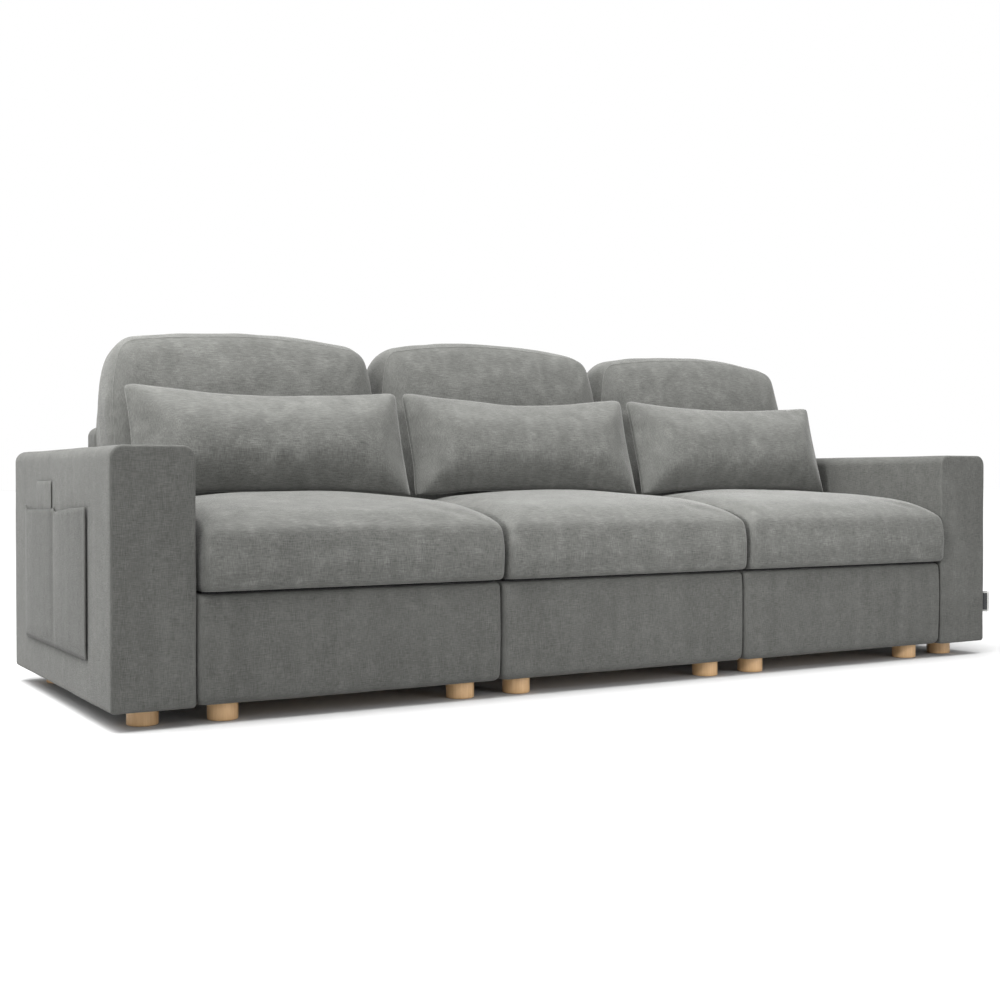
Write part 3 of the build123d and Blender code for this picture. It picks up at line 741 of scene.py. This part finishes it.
rings = [backRing(*row) for row in backLook["rear"]]
for depth, width, crest in smoothRows(backLook["gusset"], backLook["gussetSteps"]):
    soft = mix(backLook["rearSoft"], 1.0, depth)
    rings.append(backRing(depth * backLook["seam"], width, crest, -backLook["footDrop"], soft))
seamRow = len(rings) - 1
crownDepth = backLook["depth"] - backLook["seam"]
for depth, width, crest, foot in smoothRows(backLook["crown"], backLook["crownSteps"])[1:]:
    out = backLook["seam"] + depth * crownDepth
    rings.append(backRing(out, width, crest, foot * backLook["crest"]))
count = len(rings[0])
pattern = ringPiece("back_pattern", rings, brushedNapAndPaintedLight)
seamLine = range(seamRow * count, (seamRow + 1) * count)
heldBelow = deck + backLook["heldFoot"]
held = {k for k, point in enumerate(p for ring in rings for p in ring) if point.z < heldBelow}
swell(pattern, sorted(held.union(seamLine)), backLook["cloth"])
backShape = [vertex.co.copy() for vertex in pattern.data.vertices]
for point in backShape:  # neighbours press each other's sides flat
    point.x = min(max(point.x, -half - backLook["room"]), half + backLook["room"])
backFaces = ringFaces(len(rings), count, True, True)
bpy.data.objects.remove(pattern)
for seed, side in enumerate(modules):
    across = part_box(f"{side}_back_cover")[0].x - panelLow.x + backLook["lean"][side]
    shift = Vector((across, 0.0, 0.0))
    shape = [point + shift for point in backShape]
    for point in shape:
        point.z = deck + (point.z - deck) * backLook["stretch"][side]
    back = newPiece(f"{side}_back_cushion_cover", shape, backFaces, brushedNapAndPaintedLight)

    def backHold(point):
        return ease(point.z - deck, *backLook["still"])

    for depth, size, start in backLook["waves"]:
        ripple(back, depth, size, seed + start, backHold)
    rounder(back)
    seam = roundedPlaces(back, seamLine)
    dress(back, f"{side}_module", f"{side}_back_cushion")
    piping = tubeLoop(f"{side}_back_seam", seam, backLook["piping"], backOut, seamPaintedHighlightCloth)
    dress(piping, f"{side}_module", None)
print("back cushions filled")

# Lumbar pillows: two flat panels sewn round the edge and blown up by their filling
pillowLook = {
    "size": (0.680, 0.281, 0.130), "draw": (0.005, 0.023), "grid": (62, 28), "lean": 17.0,
    "place": (0.0513, 0.5718), "foot": 0.4594, "start": 0.056, "hip": (0.150, 0.120), "tip": 0.007,
    "tipSharpness": 24, "ridge": 4, "fullness": 0.75, "seam": 0.0007, "droop": 0.010,
    "droopReach": (0.16, 0.33), "still": (0.0, 0.06), "ripple": (0.0045, 0.15),
    "cloth": {"tension": 18.0, "bending": 0.4, "pressure": 2.5, "spare": 0.016, "calm": 2, "cap": 0.010},
    "top": {"left": (-0.011, -0.002), "middle": (-0.003, -0.005), "right": (-0.005, -0.004)},
    "low": {"left": (-0.008, 0.000), "middle": (-0.005, -0.005), "right": (-0.005, -0.012)},
}
wide, tall = pillowLook["grid"]


def pillowRise(u, v):
    # slopes in from the four edges, with a soft ridge from each corner
    slopes = [
        max((1 - abs(share)) * pillowLook["size"][axis] / 2 / pillowLook["hip"][axis], 1e-6)
        for axis, share in enumerate((u, v))
    ]
    nearest = sum(slope ** -pillowLook["ridge"] for slope in slopes) ** (-1 / pillowLook["ridge"])
    return math.sin(math.pi / 2 * min(nearest, 1.0)) ** pillowLook["fullness"]


def pillowGrid():
    points, index, faces = [], {}, []
    for face in (1, -1):
        for k in range(wide + 1):
            for m in range(tall + 1):
                edge = k in (0, wide) or m in (0, tall)
                key = (0 if edge else face, k, m)
                if key in index:
                    continue
                index[key] = len(points)
                u, v = 2 * k / wide - 1, 2 * m / tall - 1
                lift = pillowLook["start"] * pillowRise(u, v)
                reachU = pillowLook["size"][0] / 2 - pillowLook["draw"][0] * (1 - v * v)
                reachV = pillowLook["size"][1] / 2 - pillowLook["draw"][1] * (1 - u * u)
                tip = pillowLook["tip"] * abs(u * v) ** pillowLook["tipSharpness"]
                across, up = u * reachU - math.copysign(tip, u), v * reachV - math.copysign(tip, v)
                points.append(Vector((across, up, face * lift)))

    def at(face, k, m):
        return index[(0 if k in (0, wide) or m in (0, tall) else face, k, m)]

    for face in (1, -1):
        for k in range(wide):
            for m in range(tall):
                corners = ((k, m), (k + 1, m), (k + 1, m + 1), (k, m + 1))
                faces.append(tuple(at(face, *corner) for corner in corners))
    border = [at(1, k, 0) for k in range(wide)] + [at(1, wide, m) for m in range(tall)]
    border += [at(1, k, tall) for k in range(wide, 0, -1)] + [at(1, 0, m) for m in range(tall, 0, -1)]
    return points, faces, border


points, faces, border = pillowGrid()
pattern = newPiece("pillow_pattern", points, faces, brushedNapAndPaintedLight)
swell(pattern, border, pillowLook["cloth"])
blown = [vertex.co.copy() for vertex in pattern.data.vertices]
bpy.data.objects.remove(pattern)
reach = [max(abs(point[axis]) for point in blown) for axis in range(3)]
print("pillow blown up to", [round(2 * r, 3) for r in reach])
fit = [pillowLook["size"][axis] / 2 / reach[axis] for axis in range(3)]
lean = math.radians(pillowLook["lean"])
pillowUp = Vector((0.0, math.sin(lean), math.cos(lean)))
pillowOut = Vector((0.0, -math.cos(lean), math.sin(lean)))
for seed, side in enumerate(modules):
    low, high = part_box(f"{side}_lumbar_pillow")
    middle = Vector(((low.x + high.x) / 2, *pillowLook["place"]))
    shape = []
    for point in blown:
        u, v, w = (point[axis] * fit[axis] for axis in range(3))
        across, rise = (0.5 + value / pillowLook["size"][axis] for axis, value in enumerate((u, v)))
        u += mix(mix(*pillowLook["low"][side], across), mix(*pillowLook["top"][side], across), rise)
        stood = middle + Vector((u, 0.0, 0.0)) + pillowUp * v + pillowOut * w
        droop = pillowLook["droop"] * ease(abs(u), *pillowLook["droopReach"])
        stood.z = max(stood.z, pillowLook["foot"] - droop)
        shape.append(stood)
    pillow = newPiece(f"{side}_pillow_cover", shape, faces, brushedNapAndPaintedLight)

    def pillowHold(point):
        return ease(point.z - pillowLook["foot"], *pillowLook["still"])

    ripple(pillow, *pillowLook["ripple"], seed + 51, pillowHold)
    creased(pillow, border)
    rounder(pillow)
    edge = roundedPlaces(pillow, border)
    dress(pillow, f"{side}_pillow", f"{side}_lumbar_pillow")
    piping = tubeLoop(f"{side}_pillow_seam", edge, pillowLook["seam"], pillowOut, seamPaintedHighlightCloth)
    dress(piping, f"{side}_pillow", None)
print("pillows filled")

# Arms: a padded block with a soft top and crisp front and rear edges
armLook = {
    "counts": (12, 36, 7), "top": 0.025, "under": 0.008, "frontEdge": 0.0055, "rearEdge": 0.006,
    "sag": 0.0030, "outerPad": 0.0012, "rightPad": 0.0040, "rows": 50,
    "leastCorner": 0.004, "mostCorner": 0.49, "cornerLoss": 0.4,
    "front": ((0.070, 0.00100), (0.050, 0.00095), (0.032, 0.00075), (0.018, 0.00040)),
    "rear": (0.032, 0.050, 0.070), "ripple": (0.0009, 0.13),
}
for seed, side in enumerate(("left", "right")):
    low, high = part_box(f"{side}_arm_cover")
    if side == "left":
        low.x -= armLook["outerPad"]
    else:
        high.x += armLook["rightPad"]
    rings = []

    def armRing(inset, y):
        radii = [armLook["under"], armLook["under"], armLook["top"], armLook["top"]]
        loss = inset * armLook["cornerLoss"]
        limit = armLook["mostCorner"] * (high.x - low.x - 2 * inset)
        loop = roundedLoop(
            (low.x + inset, low.z - armLook["sag"] + inset), (high.x - inset, high.z - inset),
            [min(max(radius - loss, armLook["leastCorner"]), limit) for radius in radii], armLook["counts"],
        )
        rings.append([Vector((x, y, z)) for x, z in loop])

    frontEdge, rearEdge = armLook["frontEdge"], armLook["rearEdge"]
    for inset, pad in armLook["front"]:
        armRing(inset, low.y - pad)
    for turn in quarter(5):
        armRing(frontEdge * (1 - math.sin(turn)), low.y + frontEdge * (1 - math.cos(turn)))
    for row in range(1, armLook["rows"]):
        armRing(0.0, mix(low.y + frontEdge, high.y - rearEdge, row / armLook["rows"]))
    for turn in quarter(7):
        armRing(rearEdge * (1 - math.cos(turn)), high.y - rearEdge * (1 - math.sin(turn)))
    for inset in armLook["rear"]:
        armRing(inset, high.y)
    arm = ringPiece(f"{side}_arm_upholstery", rings, woven)
    ripple(arm, *armLook["ripple"], seed + 61)
    dress(arm, f"{side}_arm", f"{side}_arm_cover")
print("arms covered")


def clothSheet(name, columns, rows, thickness, finish):
    # each column gives the points of the sheet's inner side; the outer side lies outside it, towards -X
    points, faces = [], []
    for outside in (0, 1):
        for column in columns:
            for row in range(rows):
                point = column(row / (rows - 1))
                points.append(point - Vector((thickness, 0.0, 0.0)) * outside)
    lastColumn, lastRow = len(columns) - 1, rows - 1

    def at(outside, k, m):
        return (outside * len(columns) + k) * rows + m

    for k in range(lastColumn):
        for m in range(lastRow):
            corners = ((k, m), (k + 1, m), (k + 1, m + 1), (k, m + 1))
            faces += [tuple(at(outside, *corner) for corner in corners) for outside in (0, 1)]
    for k in range(lastColumn):
        for m in (0, lastRow):
            faces.append((at(0, k, m), at(0, k + 1, m), at(1, k + 1, m), at(1, k, m)))
    for m in range(lastRow):
        for k in (0, lastColumn):
            faces.append((at(0, k, m), at(0, k, m + 1), at(1, k, m + 1), at(1, k, m)))
    return newPiece(name, points, faces, finish)


# Side pocket: one sheet sewn at its rear edge, foot and divider, open along the top
pocketLook = {
    "thickness": 0.0020, "stand": 0.0032, "sewnStand": 0.0011, "sewnReach": (-0.02, 0.10), "valley": 0.0022,
    "valleyReach": 0.024, "frontReach": 0.05, "swell": 0.0042, "swellShape": 0.7, "footSwell": 0.35,
    "ends": (-0.2480, 0.0290, 0.2995), "turnedIn": 0.010, "columns": 26, "rows": 34,
    "evenFront": (0, 24), "evenRear": (2, 25),
    "frontHem": (
        (0.0, 0.432), (0.30, 0.4285), (0.70, 0.4215), (0.90, 0.4170), (0.955, 0.4195), (1.0, 0.4275),
    ),
    "rearHem": (
        (0.0, 0.4255), (0.05, 0.4220), (0.45, 0.4200), (0.86, 0.4180), (0.955, 0.4210), (1.0, 0.4290),
    ),
    "beforeDivider": (0.93, 0.95, 0.965, 0.98, 0.99), "pastDivider": (0.0, 0.008, 0.016, 0.028, 0.045),
    "beforeRear": (0.945, 0.965, 0.98, 0.99, 1.0),
}
low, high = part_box("side_pocket")
armFace = high.x - armLook["outerPad"]
low.y, divider, high.y = pocketLook["ends"]


def hemHeight(line, share):
    for (a, levelA), (b, levelB) in zip(line, line[1:]):
        if share <= b:
            return mix(levelA, levelB, ease(share, a, b))
    return line[-1][1]


def pocketColumn(y):
    front = y <= divider
    start, end = (low.y, divider) if front else (divider, high.y)
    share = (y - start) / (end - start)
    hem = hemHeight(pocketLook["frontHem"] if front else pocketLook["rearHem"], share)
    edgeStart = pocketLook["stand"] if front else pocketLook["valley"]
    reach = pocketLook["valleyReach"]
    nearEnd = 1 - ease(end - y, 0.0, reach)
    nearStart = 1 - ease(y - start, 0.0, pocketLook["frontReach"] if front else reach)
    fullness = pocketLook["swell"] * math.sin(math.pi * share) ** pocketLook["swellShape"]

    def point(rise):
        z = mix(low.z, hem, rise)
        body = pocketLook["stand"] + fullness * mix(pocketLook["footSwell"], 1.0, rise)
        stand = mix(mix(body, edgeStart, nearStart), pocketLook["valley"], nearEnd)
        stand = mix(pocketLook["sewnStand"], stand, ease(rise, *pocketLook["sewnReach"]))
        return Vector((armFace - stand, y, z))

    return point


even = [k / pocketLook["columns"] for k in range(pocketLook["columns"])]
evenFront, evenRear = even[slice(*pocketLook["evenFront"])], even[slice(*pocketLook["evenRear"])]
frontShares = (*evenFront, *pocketLook["beforeDivider"])
rearShares = (*pocketLook["pastDivider"], *evenRear, *pocketLook["beforeRear"])
stations = [mix(low.y, divider, share) for share in frontShares]
stations += [mix(divider, high.y, share) for share in rearShares]
pocket = clothSheet(
    "side_pocket_cloth", [pocketColumn(y) for y in stations],
    pocketLook["rows"], pocketLook["thickness"], pocketPaintedShadeCloth,
)
dress(pocket, "left_arm", "side_pocket")

# Slip pocket: a thinner sheet behind the rear compartment, open along its top
slipLook = {
    "thickness": 0.0009, "stand": 0.0020, "flat": 0.0006, "flatFrom": 0.9, "gape": 0.0012, "gapeFrom": 0.6,
    "dip": 0.001, "rows": 20, "columns": 24, "forward": 0.0035,
}
low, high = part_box("slip_pocket")
low.y -= slipLook["forward"]


def slipColumn(y):
    share = (y - low.y) / (high.y - low.y)
    bow = math.sin(math.pi * share)
    body = mix(slipLook["stand"], slipLook["flat"], ease(share, 0.0, slipLook["flatFrom"]))

    def point(rise):
        stand = body + slipLook["gape"] * bow * ease(rise, slipLook["gapeFrom"], 1.0)
        return Vector((armFace - stand, y, mix(low.z, high.z - slipLook["dip"] * bow, rise)))

    return point


stations = [mix(low.y, high.y, k / slipLook["columns"]) for k in range(slipLook["columns"] + 1)]
slip = clothSheet(
    "slip_pocket_cloth", [slipColumn(y) for y in stations], slipLook["rows"], slipLook["thickness"], woven,
)
dress(slip, "left_arm", "slip_pocket")

# Tag: a folded tape sewn into the right arm's front edge
low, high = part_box("label_tag")
rings = []
for k in range(tagLook["columns"] + 1):
    share = k / tagLook["columns"]
    x = low.x + tagLook["start"] + tagLook["reach"] * share
    bend = tagLook["bend"] * ease(share, 0.0, 1.0)
    fold = max(share - tagLook["foldFrom"], 0.0) / (1 - tagLook["foldFrom"])
    fat = tagLook["half"] * math.sqrt(max(1 - fold ** 2, tagLook["foldEnd"]))
    loop = roundedLoop((-fat, low.z), (fat, high.z), [fat * tagLook["round"]] * 4, tagLook["counts"])
    rings.append([Vector((x, (low.y + high.y) / 2 - bend + y, z)) for y, z in loop])
tag = ringPiece("side_tag_tape", rings, tagTape)
dress(tag, "right_arm", "label_tag")
print("pockets and tag sewn on")


def aimed(name, lamp, look):
    # hangs a lamp in its place and turns it to what it lights
    lit = bpy.data.objects.new(name, lamp)
    lit.location = look["place"]
    towards = Vector(look["aim"]) - Vector(look["place"])
    lit.rotation_euler = towards.to_track_quat("-Z", "Y").to_euler()
    scene.collection.objects.link(lit)


# White floor, soft light from the left and above, and the photograph's camera
floorLook = {
    "reach": 60.0, "dark": (0.45, 0.45, 0.45), "pale": (0.49, 0.49, 0.49), "grain": (30.0, 30.0, 30.0),
}
reach = floorLook["reach"]
floorCorners = [(-reach, -reach, 0.0), (reach, -reach, 0.0), (reach, reach, 0.0), (-reach, reach, 0.0)]
floorMesh = bpy.data.meshes.new("studio_floor")
floorMesh.from_pydata(floorCorners, [], [(0, 1, 2, 3)])
studioFloor = bpy.data.objects.new("studio_floor", floorMesh)
scene.collection.objects.link(studioFloor)
paper = Finish("floor_paper", {"Specular IOR Level": 0.1})
paperGrain = paper.grain(floorLook["grain"], 3.0)
paperTone = paper.blend(paperGrain * 0.4 + 0.5, floorLook["dark"], floorLook["pale"])
floorMesh.materials.append(paper.wear(paperTone, 0.9 + paperGrain * 0.05))

scene.world = bpy.data.worlds.new("studio")
scene.world.use_nodes = True
sky = scene.world.node_tree.nodes["Background"]
sky.inputs["Color"].default_value = (1.0, 1.0, 1.0, 1.0)
sky.inputs["Strength"].default_value = 1.0
lightLook = {
    "side": {"power": 31.0, "size": (0.9, 1.4), "place": (-1.95, 0.0, 1.65), "aim": (-1.22, 0.0, 0.5)},
    "top": {"power": 70.0, "size": (4.5, 3.0), "place": (0.0, 0.6, 3.6), "aim": (0.0, 0.0, 0.4)},
}
for name, look in lightLook.items():
    lamp = bpy.data.lights.new(f"{name}_softbox", "AREA")
    lamp.shape = "RECTANGLE"
    lamp.size, lamp.size_y = look["size"]
    lamp.energy = look["power"]
    aimed(f"{name}_softbox", lamp, look)
keyLook = {"strength": 4.25, "spread": 40.0, "from": (-0.18, -0.15, 0.972)}
keyLamp = bpy.data.lights.new("key_light", "SUN")
keyLamp.energy = keyLook["strength"]
keyLamp.angle = math.radians(keyLook["spread"])
keyLight = bpy.data.objects.new("key_light", keyLamp)
keyLight.rotation_euler = Vector(keyLook["from"]).to_track_quat("Z", "Y").to_euler()
scene.collection.objects.link(keyLight)
fillLook = {
    "front": {
        "power": 285.0, "cone": 31.0, "soft": 1.0, "place": (1.5, -3.4, 0.5), "aim": (0.22, -0.42, -0.06),
    },
    "back": {
        "power": 140.0, "cone": 44.0, "soft": 0.5, "place": (-0.3, -3.2, 2.0), "aim": (0.0, 0.2, 0.75),
    },
    "arm": {
        "power": 1350.0, "cone": 13.0, "soft": 0.5, "place": (-2.6, -1.6, 1.2), "aim": (1.05, -0.2, 0.52),
    },
    "block": {
        "power": 190.0, "cone": 14.0, "soft": 0.5, "place": (-1.7, -3.2, 1.9), "aim": (-1.13, -0.40, 0.66),
    },
}
for name, look in fillLook.items():
    lamp = bpy.data.lights.new(f"{name}_fill", "SPOT")
    lamp.energy = look["power"]
    lamp.shadow_soft_size = look["soft"]
    lamp.spot_size = math.radians(look["cone"])
    lamp.spot_blend = 1.0
    aimed(f"{name}_fill", lamp, look)
scene.view_settings.view_transform = "Standard"

cameraLook = {
    "place": (-1.9376, -3.0648, 0.4837), "yaw": 30.832, "pitch": -0.777, "lens": 50.0, "sensor": 36.0,
}
lens = bpy.data.cameras.new("photo_camera")
lens.lens = cameraLook["lens"]
lens.sensor_width = cameraLook["sensor"]
camera = bpy.data.objects.new("photo_camera", lens)
camera.location = cameraLook["place"]
camera.rotation_euler = (math.radians(90 + cameraLook["pitch"]), 0.0, -math.radians(cameraLook["yaw"]))
scene.collection.objects.link(camera)
scene.camera = camera
print("studio ready")
